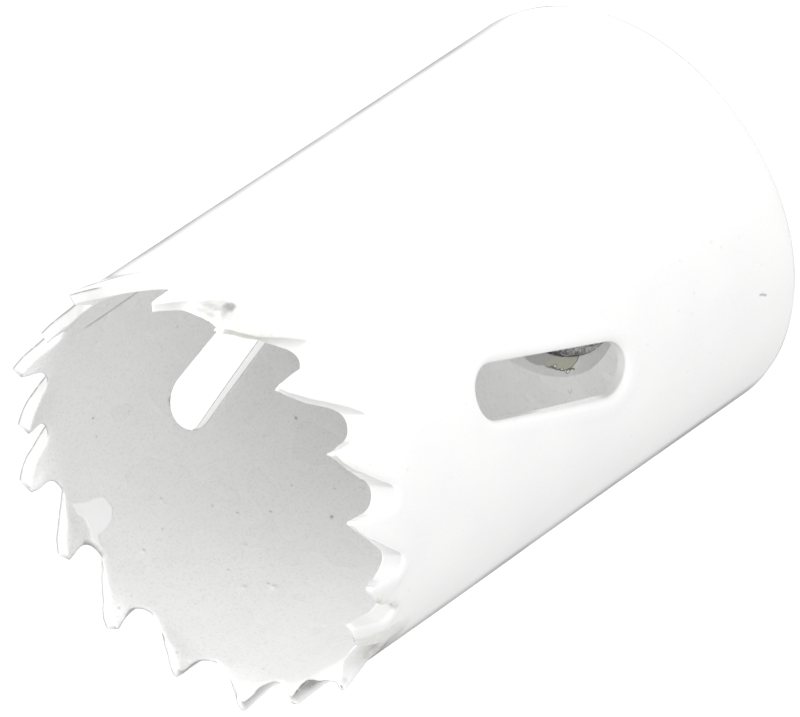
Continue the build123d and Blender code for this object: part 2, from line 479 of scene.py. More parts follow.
# keep the triangles of the wall itself, not those of holes
loop_id = np.full(len(flat), -1)
for k, l in enumerate(loops):
    loop_id[starts[k]:starts[k] + len(l)] = k
ang = -flat[:, 0] / R_MID                       # azimuth, radians
ca, sa = np.cos(ang), np.sin(ang)
px = plane[faces2d]
cen = px.mean(1)
rad = np.hypot(*cen.T)
cen_flat = np.c_[np.arctan2(cen[:, 1], cen[:, 0]) * R_MID,
                 np.log(rad / 10.0) * R_MID + LENGTH]
keep = rad > math.exp(-LENGTH / R_MID) * 10.0 * math.cos(math.pi / n_back)
keep &= ~in_slot(cen_flat)
top = cen_flat[:, 1] > 42.0
inside = np.ones(len(cen_flat), bool)
inside[top] = below_edge(cen_flat[top])
keep &= inside
# slivers that only join points of one slot's outline lie in its hole
lid = loop_id[faces2d]
keep &= ~((lid[:, 0] == lid[:, 1]) & (lid[:, 1] == lid[:, 2]) & (lid[:, 0] > 0))
tri = faces2d[keep]

# ------------------------------------------------------- wall as two skins
X, Y = flat[:, 0], flat[:, 1]
d_edge = dist_all(flat)
for k, l in enumerate(loops):
    d_edge[starts[k]:starts[k] + len(l)] = 0 if k < 3 else d_edge[starts[k]:starts[k] + len(l)]
d_back = np.maximum(Y, 0)
d_slot = np.full(len(flat), 99.0)
rho_slot = np.full(len(flat), RHO_SLOT[0])
for k, l in enumerate(slots):
    c = l.mean(0)
    near = np.abs((X - c[0] + CIRC / 2) % CIRC - CIRC / 2) < 8
    qq = flat[near].copy()
    qq[:, 0] = c[0] + (qq[:, 0] - c[0] + CIRC / 2) % CIRC - CIRC / 2
    d_slot[near] = np.minimum(d_slot[near], seg_distance(qq, l, 0)[0])
    d_slot[starts[k + 1]:starts[k + 1] + len(loops[k + 1])] = 0
    rho_slot[near] = RHO_SLOT[k]
d_top = np.where(d_slot <= d_edge + 1e-6, 99.0, d_edge)


def round_over(d, rho):
    t = np.clip(d / rho, 0, 1)
    return rho * (1 - np.sqrt(np.clip(1 - (1 - t) ** 2, 0, 1)))


azd0 = (np.degrees(ang) + 180) % 360 - 180
# the rolled tube is a little wide across two places, more so at its mouth
oval = np.exp(-((azd0 + 63) / 26) ** 2) * (0.06 + 0.13 * smooth((Y - 14) / 24))
oval = oval + smooth((azd0 - 105) / 16) * smooth((162 - azd0) / 30) * (0.07 + 0.06 * smooth((Y - 14) / 24))
lean = lean_at(np.degrees(ang), Y) + oval * smooth(Y / 1.0)


split_v = np.zeros((len(flat), 2))
near_top = Y > 38.0
split_v[near_top] = split_at(flat[near_top], d_edge[near_top])
a_out = -(X + split_v[:, 0]) / R_MID
a_in = -(X - split_v[:, 0]) / R_MID
z_out = np.minimum(Y + split_v[:, 1], LENGTH - 0.004)
z_in = np.minimum(Y - split_v[:, 1], LENGTH - 0.004)
tn_out, tn_in = tipness(z_out), tipness(z_in)
bead = 0.035 * np.exp(-((d_top - 0.55) / 0.32) ** 2) + 0.05 * np.exp(-((d_slot - 0.85) / 0.45) ** 2)
rise_out = bead - 0.035
rise_in = 0.15 * bead


def far_x(cx):
    return (X - cx + CIRC / 2) % CIRC - CIRC / 2


def spot(cx, cy, r, sharp=2.0):
    """One at the spot's middle, falling to nothing past its radius."""
    return np.exp(-np.power(np.hypot(far_x(cx), Y - cy) / r, sharp))


def along(line, r):
    """Distance from an open line."""
    best = np.full(len(X), 99.0)
    for p, q in zip(line[:-1], line[1:]):
        px0, py0 = far_x(p[0]), Y - p[1]
        dx, dy = q[0] - p[0], q[1] - p[1]
        t = np.clip((px0 * dx + py0 * dy) / (dx * dx + dy * dy), 0, 1)
        best = np.minimum(best, np.hypot(px0 - t * dx, py0 - t * dy))
    return best


def inside_of(poly):
    """Signed distance from a closed polygon, positive inside."""
    d = along(np.vstack([poly, poly[:1]]), 0)
    xs = far_x(0.0)
    xs = np.where(xs < 0, xs + CIRC, xs)
    odd = np.zeros(len(X), bool)
    for p, q in zip(poly, np.roll(poly, -1, 0)):
        cr = (p[1] > Y) != (q[1] > Y)
        if p[1] != q[1]:
            odd ^= cr & (xs < p[0] + (Y - p[1]) * (q[0] - p[0]) / (q[1] - p[1]))
    return np.where(odd, d, -d)


# dark marks on the skins: real dirt, seam and chips, together with painted shade and painted shadows
dirt_and_shade_in, dirt_and_shade_out = np.zeros(len(X)), np.zeros(len(X))
tint_in, tint_out = np.zeros(len(X)), np.zeros(len(X))
# a flake of thicker paint on the inside, with a run towards the teeth
light_in = smooth(inside_of(PATCH) / 0.10 + 0.35)
rise_in = rise_in + 0.045 * light_in
# the butt weld of the rolled strip, seen from inside
seam_d = along(SEAM, 0)
seam_x = far_x(58.60)
seam_fade = smooth((42.5 - Y) / 0.8) * smooth((Y - 11.5) / 1.0)
rise_in = rise_in - 0.13 * np.exp(-(seam_d / 0.12) ** 2) * seam_fade
rise_in = rise_in + 0.035 * np.exp(-((seam_d - 0.22) / 0.12) ** 2) * seam_fade
dirt_and_shade_in += 0.85 * np.exp(-(seam_d / 0.105) ** 2) * seam_fade
# specks in the paint: a flat speck's dark dot is its own colour; a raised speck or a pit gets its dark spot set off to
# one side, a painted shadow
for cx, cy, r, h, dark in SPECKS:
    q = spot(cx, cy, r)
    rise_in = rise_in + h * q
    dirt_and_shade_in += dark * spot(cx + (0.10 if h else 0.0), cy - (0.05 if h else 0.0), r * 0.75)
# painted shade: a dark outline along the inner skin's edge over part of the toothed edge, fading where the edge turns
# one way
rim = (d_top < 0.12) & (X % CIRC > 15.0) & (X % CIRC < 57.0)
foot = seg_distance(flat[rim], edge_s, CIRC)[1]
away = smooth((-n_edge[foot, 0] - 0.10) / 0.35)
dirt_and_shade_in[rim] += 0.50 * (1 - away) * (1 - smooth((d_top[rim] - 0.02) / 0.09))
# a chip and a faint scratch on the outside
dirt_and_shade_out += 0.60 * np.exp(-(along(np.array([(3.87, 4.56), (4.21, 3.90)]), 0) / 0.07) ** 2)
rise_out = rise_out - 0.10 * spot(4.04, 4.23, 0.17) + 0.02 * spot(4.04, 4.23, 0.30)
rise_out = rise_out - 0.012 * np.exp(-(along(np.array([(2.2, 31.07), (2.7, 30.7), (3.25, 31.05)]), 0) / 0.10) ** 2)
# crumbs stuck in the paint on the teeth
for cx, cy, r, h, t in [(-4.40, 46.85, 0.32, 0.66, 0.7), (-3.92, 46.42, 0.27, 0.52, 0.6), (-3.45, 46.15, 0.25, 0.36, 0.8), (-2.95, 45.75, 0.26, 0.34, 0.6), (-2.45, 45.35, 0.20, 0.16, 0.5)]:
    rise_in = rise_in + h * spot(cx, cy, r)
    tint_in += t * spot(cx, cy, r * 1.1)
for cx, cy, r, h, t in [(6.75, 46.55, 0.32, 0.12, 0.7), (7.45, 45.95, 0.40, 0.10, 0.6), (8.25, 45.05, 0.40, 0.12, 0.9)]:
    rise_out = rise_out + h * spot(cx, cy, r)
    tint_out += t * spot(cx, cy, r * 1.2)
dirt_and_shade_out += 0.9 * spot(7.35, 46.0, 0.13) + 0.7 * spot(8.1, 45.2, 0.15) + 0.6 * spot(7.85, 45.6, 0.10) + 0.35 * spot(8.6, 44.2, 0.35)
# darker, yellow-grey flanks low on two teeth
flank = smooth(inside_of(np.array([(10.0, 47.7), (10.4, 46.6), (10.85, 43.4), (11.5, 41.4), (16.6, 39.5), (16.6, 43.5), (13.2, 45.6), (11.6, 47.0)])) / 0.16 + 0.5)
flank = flank * smooth((Y - 40.0) / 3.2)
tint_out += 0.28 * flank
dirt_and_shade_out += 0.05 * flank + 0.34 * np.exp(-(along(np.array([(13.2, 41.8), (13.6, 45.0)]), 0) / 0.9) ** 2)
dirt_and_shade_out += 0.5 * spot(16.2, 45.3, 0.25)
tint_out += 0.32 * np.exp(-(along(np.array([(79.2, 46.9), (80.4, 45.9), (82.6, 44.6)]), 0) / 0.75) ** 2)
r_out = R_OUT + rise_out - round_over(d_top, RHO) * (1 - 0.5 * tn_out) - round_over(d_slot, rho_slot) \
    - round_over(d_back, BACK_ROUND) + lean
r_in = R_IN - rise_in + 0.40 * round_over(d_top, RHO) * (1 - 0.3 * tn_in) + 0.30 * round_over(d_slot, RHO) \
    + taper_at(np.degrees(ang)) * tn_in + lean
lip = smooth((far_x(14.2)) / 0.6) * smooth((-far_x(18.8)) / 0.8)
r_in = r_in + 0.40 * lip * np.exp(-(d_top / 0.7) ** 2)
P_out = np.c_[r_out * np.cos(a_out), r_out * np.sin(a_out), z_out]
P_in = np.c_[r_in * np.cos(a_in), r_in * np.sin(a_in), z_in]
# no tooth's set goes past the size of the turned body on this side
over = np.maximum(P_out[:, 1] - 15.640, 0)
P_out[:, 1] -= over
P_in[:, 1] -= over

# side walls between the two skins, a few rows deep
verts = [P_out, P_in]
# marks on the mesh: dirt with painted shade, tint, the lighter flake, and side, painted shade on the faces between the
# skins
marks = {"dirt_and_shade": [dirt_and_shade_out, dirt_and_shade_in], "tint": [tint_out, tint_in], "light": [0 * X, light_in], "side": [0 * X, 0 * X]}
n0 = len(flat)
count = 2 * n0
faces_out = tri
faces_in = tri[:, ::-1] + n0
side_faces = []
STEPS = [0.05, 0.11, 0.24, 0.40, 0.56, 0.72, 0.86, 0.95]
rough_a = rng.uniform(0, 6.28, 12)


def crumple(x, y, k):
    """A smooth made-up roughness, about -1 to 1, over a small area."""
    q = 0
    for j in range(6):
        th = rough_a[j] * 3
        q = q + math.pow(0.75, j) * np.sin((x * math.cos(th) + y * math.sin(th)) * (k + 1.7 * j) + rough_a[j + 6])
    return q / 2.2


def side_marks(x, y, t, k, flank):
    """Colour marks on the faces between the skins: dirt and painted shade, tint, and side, which is painted shade on
    these faces; flank is 1 behind a tip.
    """
    x = (x + 12.0) % CIRC - 12.0
    near = smooth((17.2 - x) / 2.6) + smooth((x - 69.0) / 3.0)
    if k == 0:
        # side: painted shade on these faces, stronger on the near-side teeth and behind the tips
        side = (0.55 - 0.25 * smooth((25.5 - x) / 0.8) + 0.15 * flank) * (1 - near) + near * (0.12 + 0.80 * flank * (1 - 0.5 * t))
        # painted shade: dark outlines along the outer and inner edges of these faces and along the tips, over part of
        # the toothed edge
        dark_outline = smooth((x - 15.0) / 1.0) * smooth((67.5 - x) / 0.5)
        dirt_and_shade = dark_outline * flank * (0.62 if t < 0.08 else 0.20 if t < 0.15 else 0.0)
        dirt_and_shade = dirt_and_shade + dark_outline * (1 - flank) * (0.52 if t > 0.97 else 0.0)
        dirt_and_shade = dirt_and_shade + dark_outline * (smooth((57.0 - x) / 1.0) + smooth((x - 64.0) / 0.5)) * 0.30 * smooth((y - (LENGTH - 0.06)) / 0.04)
        dirt_and_shade = dirt_and_shade + 0.85 * flank * (1.0 if t < 0.08 else 0.3 if t < 0.15 else 0.0) * smooth((x - 9.9) / 0.4) * smooth((13.3 - x) / 0.5)
        dirt_and_shade = dirt_and_shade + 0.85 * np.exp(-((x - 14.28) / 0.13) ** 2) * smooth((t - 0.15) / 0.2) * smooth((0.85 - t) / 0.2) * smooth((y - 46.7) / 0.2)
        # painted shadow in the root of a gullet
        dirt_and_shade = dirt_and_shade + 0.9 * np.exp(-(((x - 51.75) / 0.30) ** 2)) * smooth((46.0 - y) / 0.6) * smooth((t - 0.2) / 0.3)
        # a dark patch on these faces at x 15.3 to 19.6, darker towards the inner skin
        dark_patch = smooth((x - 15.3) / 0.7) * smooth((19.6 - x) / 0.5) * smooth((y - 42.9) / 0.5) * smooth((46.8 - y) / 1.2)
        dirt_and_shade = dirt_and_shade + 1.5 * dark_patch * smooth((t - 0.03) / 0.40) * (0.35 + 0.65 * smooth((19.2 - x) / 2.4))
        # painted shade on the rake face at x 12.6 to 14.3, under the tooth ahead of it
        dark_patch = smooth((x - 12.6) / 0.6) * smooth((14.3 - x) / 0.5) * smooth((45.7 - y) / 0.9)
        dirt_and_shade = dirt_and_shade + 0.26 * dark_patch * (1 - t)
        # the blistered bridge of paint ahead of the second tooth from the top
        blister = smooth((x - 74.6) / 1.2) * smooth((78.9 - x) / 0.5)
        bubble = smooth(0.5 + 1.1 * crumple(x * 1.0, t * 5.0, 4.2)) * smooth((t - 0.10) / 0.2) * smooth((0.85 - t) / 0.2)
        dirt_and_shade = dirt_and_shade + blister * (0.06 + 0.24 * bubble * smooth((x - 75.4) / 0.8))
        # the hole in the film is drawn as a mid-grey patch, painted shade seen through it
        hole = np.exp(-(((x - 77.55) / 0.50) ** 2 + ((t - 0.20) / 0.20) ** 2) ** 3)
        dirt_and_shade = np.where(hole > 0.05, dirt_and_shade * (1 - hole) + 0.62 * hole, dirt_and_shade)
        tint = 0.50 * smooth((x - 78.9) / 0.5) * smooth((81.8 - x) / 0.8) + 0.15 * blister
        tint = tint + 0.35 * np.exp(-((x + 3.6) / 1.1) ** 2)
    else:
        # side: painted shade on the slots' walls
        side = np.full(len(x), 0.40)
        if k == 1:       # one slot's far end stands in its own shade
            side = 0.02 + 0.96 * smooth((22.0 - y) / 1.6)
        dirt_and_shade = np.full(len(x), 0.0)
        # painted shade: dark lines along both edges of the far slot's wall
        if k == 2:
            dirt_and_shade = dirt_and_shade + (0.55 if t < 0.08 else 0.15 if t < 0.15 else 0.0) + (0.45 if t > 0.93 else 0.0)
        tint = np.zeros(len(x))
    return dirt_and_shade, tint, side


for k, l in enumerate(loops):
    n = len(l)
    a = np.arange(starts[k], starts[k] + n)
    rows = [a]
    steps = STEPS if k < 3 else [0.33, 0.66]
    flank = smooth((-loop_normals(l, CIRC)[:, 0] - 0.10) / 0.35) if k == 0 else np.zeros(n)
    for t in steps:
        p = P_out[a] * (1 - t) + P_in[a] * t
        xw = (X[a] + 12.0) % CIRC - 12.0
        if k == 0:
            bl = smooth((xw - 74.4) / 1.0) * smooth((79.2 - xw) / 0.6) + 0.8 * np.exp(-((xw + 3.6) / 0.9) ** 2)
            lift = bl * 0.16 * crumple(X[a] * 1.0, t * 6.0, 3.2) * math.sin(math.pi * t)
            dirn = np.c_[np.cos(-X[a] / R_MID) * 0.6, np.sin(-X[a] / R_MID) * 0.6, np.full(n, 0.8)]
            p = p + dirn * lift[:, None]
        verts.append(p)
        so, ti, side_shade = side_marks(X[a], Y[a], t, k, flank) if k < 3 else (0 * X[a], 0 * X[a], 0 * X[a])
        marks["dirt_and_shade"].append(np.maximum(so, dirt_and_shade_out[a] * (1 - t) + dirt_and_shade_in[a] * t))
        marks["tint"].append(np.maximum(ti, tint_out[a] * (1 - t) + tint_in[a] * t))
        marks["light"].append(light_in[a] * t)
        marks["side"].append(side_shade)
        rows.append(np.arange(count, count + n))
        count += n
    if k < 3:
        so, ti, side_shade = side_marks(X[a], Y[a], 0.0, k, flank)
        marks["dirt_and_shade"][0][a] = np.maximum(marks["dirt_and_shade"][0][a], so)
        marks["side"][0][a] = side_shade
        so, ti, side_shade = side_marks(X[a], Y[a], 1.0, k, flank)
        marks["dirt_and_shade"][1][a] = np.maximum(marks["dirt_and_shade"][1][a], so)
        marks["side"][1][a] = side_shade * 0.6
    rows.append(a + n0)
    for j in range(len(rows) - 1):
        p0, p1 = rows[j], rows[j + 1]
        q0, q1 = np.roll(p0, -1), np.roll(p1, -1)
        side_faces.append(np.c_[p0, q0, q1, p1])
V = np.vstack(verts)


def orient(tris, V, want):
    """How far each triangle's normal points outwards from the axis, signed by the wanted side."""
    a, b, c = V[tris[:, 0]], V[tris[:, 1]], V[tris[:, 2]]
    n = np.cross(b - a, c - a)
    m = (a + b + c) / 3
    w = want * (n[:, 0] * m[:, 0] + n[:, 1] * m[:, 1])
    return w


w = orient(tri, V, 1)
if np.median(w) < 0:
    faces_out, faces_in = tri[:, ::-1], tri + n0
polys = [faces_out.tolist(), faces_in.tolist()]
mats_idx = [0] * len(faces_out) + [1] * len(faces_in)
for q in side_faces:
    polys.append(q.tolist())
    mats_idx += [0] * len(q)
polys = [f for part in polys for f in part]

shell_mesh = bpy.data.meshes.new("painted_shell")
shell_mesh.from_pydata((V * MM).tolist(), [], polys)
shell_mesh.polygons.foreach_set("material_index", mats_idx)
shell_mesh.polygons.foreach_set("use_smooth", [True] * len(polys))
import bmesh
bm = bmesh.new()
bm.from_mesh(shell_mesh)
bmesh.ops.recalc_face_normals(bm, faces=bm.faces)
open_edges = sum(1 for e in bm.edges if len(e.link_faces) != 2)
print("shell: open or shared edges", open_edges, "triangles", sum(len(f.verts) - 2 for f in bm.faces), "volume mm3", bm.calc_volume() * 1e9)
bm.to_mesh(shell_mesh)
bm.free()
for name, parts in marks.items():
    at = shell_mesh.attributes.new(name, "FLOAT", "POINT")
    at.data.foreach_set("value", np.clip(np.concatenate(parts), 0, 1).astype(np.float32))
shell = bpy.data.objects.new("painted_shell", shell_mesh)
bpy.context.scene.collection.objects.link(shell)


# --------------------------------------------------------------- arbor cap
def lathe(profile, n, z_turn=0.0):
    """A closed profile of (r, z) turned about the axis."""
    a = np.arange(n) / n * 2 * math.pi
    v = [(r * math.cos(t), r * math.sin(t), z) for r, z in profile for t in a]
    m = len(profile)
    f = []
    for i in range(m):
        j = (i + 1) % m
        for k in range(n):
            l = (k + 1) % n
            f.append((i * n + k, i * n + l, j * n + l, j * n + k))
    return v, f


N_CAP = 192
PER = 20                                  # rows to a turn of the thread
turns_lo, turns_hi = -1, int(CAP_T / PITCH) + 2


def thread_radius(ph):
    """Radius of a 60 degree internal thread at a phase from 0 to 1 of its pitch."""
    ph = ph % 1.0
    q = abs(ph - 0.5) * 2                  # 1 at the crest, 0 at the root
    flank = (q - 0.13) / (0.74 - 0.13)
    flank = min(max(flank, 0.0), 1.0)
    flank = flank * flank * (3 - 2 * flank) * 0.25 + flank * 0.75
    return THREAD_R + (BORE_R - THREAD_R) * flank


rows = np.arange(turns_lo * PER, turns_hi * PER + 1)
cv, cf = [], []
ths = np.arange(N_CAP + 1) / N_CAP * 2 * math.pi
grid = np.zeros((len(rows), N_CAP + 1, 3))
for i, rr in enumerate(rows):
    for k, th in enumerate(ths):
        z = (rr / PER + th / (2 * math.pi)) * PITCH
        z = min(max(z, 0.0), CAP_T)
        ph = z / PITCH - th / (2 * math.pi)
        r = thread_radius(ph)
        r = max(r, BORE_R + (LEAD_IN - z)) if z < LEAD_IN + 0.8 else r
        below = CAP_T - SINK_H - z
        if below <= 0:
            r = BORE_R - below * (SINK_R - BORE_R) / SINK_H
        elif below < 0.55:
            q = below / 0.55
            r = BORE_R + (r - BORE_R) * q * q * (3 - 2 * q)
        if z <= 0.0:
            r = BORE_R + LEAD_IN
        if z >= CAP_T:
            r = SINK_R
        grid[i, k] = (r * math.cos(th), r * math.sin(th), z)
bm = bmesh.new()
vid = [[bm.verts.new(Vector(grid[i, k]) * MM) for k in range(N_CAP + 1)] for i in range(len(rows))]
for i in range(len(rows) - 1):
    za, zb = grid[i, :, 2], grid[i + 1, :, 2]
    for k in range(N_CAP):
        zz = {round(float(t), 6) for t in (za[k], za[k + 1], zb[k], zb[k + 1])}
        if zz == {0.0} or zz == {round(CAP_T, 6)}:
            continue
        bm.faces.new((vid[i][k], vid[i][k + 1], vid[i + 1][k + 1], vid[i + 1][k]))
bmesh.ops.remove_doubles(bm, verts=bm.verts, dist=1e-8)
bmesh.ops.dissolve_degenerate(bm, edges=bm.edges, dist=1e-8)
loose = [v for v in bm.verts if not v.link_faces]
bmesh.ops.delete(bm, geom=loose, context="VERTS")


def ring(r, z):
    return [bm.verts.new(Vector((r * math.cos(t), r * math.sin(t), z)) * MM) for t in ths[:-1]]


def rim(z):
    """The bore's boundary vertices at one end, in order round the axis."""
    vs = [v for v in bm.verts if abs(v.co.z - z * MM) < 1e-9 and v.is_boundary]
    return sorted(vs, key=lambda v: math.atan2(v.co.y, v.co.x) % (2 * math.pi))


def bridge(a, b):
    n = len(a)
    for k in range(n):
        bm.faces.new((a[k], a[(k + 1) % n], b[(k + 1) % n], b[k]))


bm.verts.ensure_lookup_table()
lo_rim, hi_rim = rim(0.0), rim(CAP_T)
print("cap rims", len(lo_rim), len(hi_rim))
prof_top = [(8.20, CAP_T + 0.0), (8.9, CAP_T), (10.0, CAP_T), (11.5, CAP_T), (13.0, CAP_T), (13.9, CAP_T + 0.0),
            (14.15, CAP_T + 0.03), (14.30, CAP_T + 0.09), (14.40, CAP_T + 0.20), (14.455, CAP_T + 0.38)]
prof_side = [(14.455, CAP_T * 0.5), (14.455, 0.25), (14.30, 0.0), (12.0, 0.0), (10.0, 0.0), (8.6, 0.0)]
last = hi_rim
for r, z in prof_top + prof_side:
    now = ring(r, z)
    bridge(last, now)
    last = now
bridge(last, lo_rim)
bmesh.ops.recalc_face_normals(bm, faces=bm.faces)
print("cap: open edges", sum(1 for e in bm.edges if len(e.link_faces) != 2), "triangles", sum(len(f.verts) - 2 for f in bm.faces), "volume", bm.calc_volume() * 1e9)
for f in bm.faces:
    f.smooth = True
cap_mesh = bpy.data.meshes.new("threaded_cap")
bm.to_mesh(cap_mesh)
bm.free()
cap = bpy.data.objects.new("threaded_cap", cap_mesh)
bpy.context.scene.collection.objects.link(cap)


# --------------------------------------------------------------- materials
def material(name):
    m = bpy.data.materials.new(name)
    m.use_nodes = True
    nt = m.node_tree
    return m, nt, nt.nodes["Principled BSDF"]


def add(nt, kind, props=None, **ins):
    """A node with its properties and its inputs, each a value or a socket."""
    n = nt.nodes.new(kind)
    for k, v in (props or {}).items():
        setattr(n, k, v)
    for k, v in ins.items():
        key = k.replace("_", " ") if k.replace("_", " ") in n.inputs else k
        if k.startswith("i") and k[1:].isdigit():
            key = int(k[1:])
        if isinstance(v, bpy.types.NodeSocket):
            nt.links.new(v, n.inputs[key])
        else:
            n.inputs[key].default_value = v
    return n


def noise(nt, co, scale, detail=2.0, rough=0.5):
    return add(nt, "ShaderNodeTexNoise", None, Vector=co, Scale=scale, Detail=detail, Roughness=rough).outputs["Fac"]


def ramp(nt, v, lo, hi, to_lo, to_hi, soft=True):
    n = add(nt, "ShaderNodeMapRange", {"interpolation_type": "SMOOTHSTEP" if soft else "LINEAR"})
    nt.links.new(v, n.inputs["Value"])
    for k, x in (("From Min", lo), ("From Max", hi), ("To Min", to_lo), ("To Max", to_hi)):
        n.inputs[k].default_value = x
    return n.outputs["Result"]


def math_node(nt, op, a, b=0.0):
    n = nt.nodes.new("ShaderNodeMath")
    n.operation = op
    for i, v in enumerate((a, b)):
        if isinstance(v, bpy.types.NodeSocket):
            nt.links.new(v, n.inputs[i])
        else:
            n.inputs[i].default_value = v
    return n.outputs[0]


def blend(nt, fac, a, b):
    n = nt.nodes.new("ShaderNodeMix")
    n.data_type = "RGBA"
    socks = [i for i in n.inputs if i.type == "RGBA"]
    nt.links.new(fac, n.inputs[0])
    for sk, v in zip(socks, (a, b)):
        if isinstance(v, bpy.types.NodeSocket):
            nt.links.new(v, sk)
        else:
            sk.default_value = v
    return [o for o in n.outputs if o.type == "RGBA"][0]


def attr(nt, name):
    return add(nt, "ShaderNodeAttribute", {"attribute_name": name}).outputs["Fac"]


def paint_material(name, lo, hi, rough, grain, peel, speckle):
    """White sprayed enamel: cloudy white, fine grain, orange peel and the marks on it."""
    m, nt, bsdf = material(name)
    co = nt.nodes.new("ShaderNodeTexCoord").outputs["Object"]
    cloud = noise(nt, co, 200.0, 1.0, 0.4)
    col = blend(nt, ramp(nt, cloud, 0.15, 0.85, 0, 1), (*lo, 1), (*hi, 1))
    gr = noise(nt, co, 5200.0, 2.0, 0.6)
    col = blend(nt, ramp(nt, gr, 0.30, 0.52, grain, 0.0), col, (0.55, 0.55, 0.54, 1))
    dots = add(nt, "ShaderNodeTexVoronoi", {"feature": "F1"}, Vector=co, Scale=900.0)
    pick = add(nt, "ShaderNodeSeparateColor", None, Color=dots.outputs["Color"]).outputs[0]
    dot = math_node(nt, "MULTIPLY", ramp(nt, dots.outputs["Distance"], 0.06, 0.16, 1, 0), ramp(nt, pick, 0.90, 0.93, 0, 1))
    col = blend(nt, math_node(nt, "MULTIPLY", dot, speckle), col, (0.30, 0.30, 0.29, 1))
    lightg = noise(nt, co, 6400.0, 1.0, 0.5)
    col = blend(nt, ramp(nt, lightg, 0.60, 0.72, 0.0, grain), col, (1.0, 1.0, 1.0, 1))
    # marks carried on the mesh
    # painted shade on the faces between the skins, from the side attribute
    side_shade_fac = math_node(nt, "MULTIPLY", attr(nt, "side"), 0.62)
    col = blend(nt, side_shade_fac, col, (0.50, 0.50, 0.495, 1))
    patchy = noise(nt, co, 2600.0, 3.0, 0.6)
    tint = math_node(nt, "MULTIPLY", attr(nt, "tint"), ramp(nt, patchy, 0.30, 0.60, 0.35, 1.0))
    col = blend(nt, tint, col, (0.52, 0.50, 0.38, 1))
    col = blend(nt, attr(nt, "light"), col, (0.99, 0.99, 0.99, 1))
    # dark marks from the mesh: real dirt, seam and chips, together with painted shade and painted shadows
    dirt_and_shade = math_node(nt, "MULTIPLY", attr(nt, "dirt_and_shade"), ramp(nt, patchy, 0.25, 0.50, 0.45, 1.0))
    col = blend(nt, dirt_and_shade, col, (0.035, 0.034, 0.032, 1))
    nt.links.new(col, bsdf.inputs["Base Color"])
    nt.links.new(ramp(nt, cloud, 0.3, 0.7, rough * 0.8, rough * 1.25), bsdf.inputs["Roughness"])
    fine_h = noise(nt, co, 4200.0, 2.0)
    wavy = noise(nt, co, 900.0, 1.5)
    h = math_node(nt, "ADD", math_node(nt, "MULTIPLY", wavy, 1.0), math_node(nt, "MULTIPLY", fine_h, 0.16))
    bump = add(nt, "ShaderNodeBump", None, Strength=1.0, Distance=peel, Height=h)
    nt.links.new(bump.outputs["Normal"], bsdf.inputs["Normal"])
    return m, nt, bsdf


paint, nt, bsdf = paint_material("white_paint", (0.895, 0.897, 0.895), (0.93, 0.93, 0.925), 0.14, 0.05, 0.0000035, 0.10)
paint_in, nt, bsdf = paint_material("white_paint_inside", (0.872, 0.872, 0.868), (0.892, 0.892, 0.888), 0.30, 0.26, 0.000008, 0.30)
shell_mesh.materials.append(paint)
shell_mesh.materials.append(paint_in)

# the cap's paint, thin and stained on the countersink, bare in the thread
cap_paint, nt, bsdf = material("cap_paint")
co = nt.nodes.new("ShaderNodeTexCoord").outputs["Object"]
sep = add(nt, "ShaderNodeSeparateXYZ", None, Vector=co)
cx_, cy_, cz_ = sep.outputs[0], sep.outputs[1], sep.outputs[2]
rad_ = math_node(nt, "SQRT", math_node(nt, "ADD", math_node(nt, "MULTIPLY", cx_, cx_), math_node(nt, "MULTIPLY", cy_, cy_)))
azi = math_node(nt, "ARCTAN2", cy_, cx_)
cloud = noise(nt, co, 300.0, 1.0, 0.4)
gr = noise(nt, co, 5200.0, 2.0, 0.6)
col = blend(nt, ramp(nt, cloud, 0.15, 0.85, 0, 1), (0.83, 0.83, 0.825, 1), (0.88, 0.88, 0.875, 1))
col = blend(nt, ramp(nt, gr, 0.30, 0.52, 0.22, 0.0), col, (0.55, 0.55, 0.54, 1))
edge_n = math_node(nt, "MULTIPLY", math_node(nt, "SUBTRACT", noise(nt, co, 900.0, 3.0), 0.5), 0.0006)
rim_r = math_node(nt, "ADD", rad_, edge_n)
# pool of thin varnish on the countersink
pool = math_node(nt, "MULTIPLY", ramp(nt, rim_r, 0.00772, 0.00780, 1, 0), ramp(nt, azi, math.radians(-115), math.radians(-112), 0, 1))
pool_az = math_node(nt, "ADD", azi, math_node(nt, "MULTIPLY", ramp(nt, rad_, 0.00735, 0.00775, 0, 1), 0.045))
pool = math_node(nt, "MULTIPLY", pool, ramp(nt, pool_az, math.radians(-78.5), math.radians(-77.0), 1, 0))
strong = ramp(nt, azi, math.radians(-104), math.radians(-92), 0.0, 1.0)
stain = blend(nt, strong, (0.50, 0.50, 0.49, 1), (0.55, 0.55, 0.44, 1))
col = blend(nt, math_node(nt, "MULTIPLY", pool, 0.92), col, stain)
right = math_node(nt, "ABSOLUTE", math_node(nt, "ADD", math_node(nt, "SUBTRACT", pool_az, math.radians(-78.3)), math_node(nt, "MULTIPLY", edge_n, 60.0)))
right = math_node(nt, "MULTIPLY", ramp(nt, right, 0.004, 0.011, 0.75, 0.0), ramp(nt, rad_, 0.00770, 0.00780, 1, 0))
col = blend(nt, right, col, (0.13, 0.13, 0.11, 1))
line_d = math_node(nt, "ABSOLUTE", math_node(nt, "SUBTRACT", rim_r, 0.00777))
line_m = math_node(nt, "MULTIPLY", ramp(nt, line_d, 0.00002, 0.00007, 1, 0), ramp(nt, azi, math.radians(-105), math.radians(-92), 0, 0.9))
line_m = math_node(nt, "MULTIPLY", line_m, ramp(nt, azi, math.radians(-78.5), math.radians(-77.0), 1, 0))
col = blend(nt, line_m, col, (0.12, 0.11, 0.08, 1))
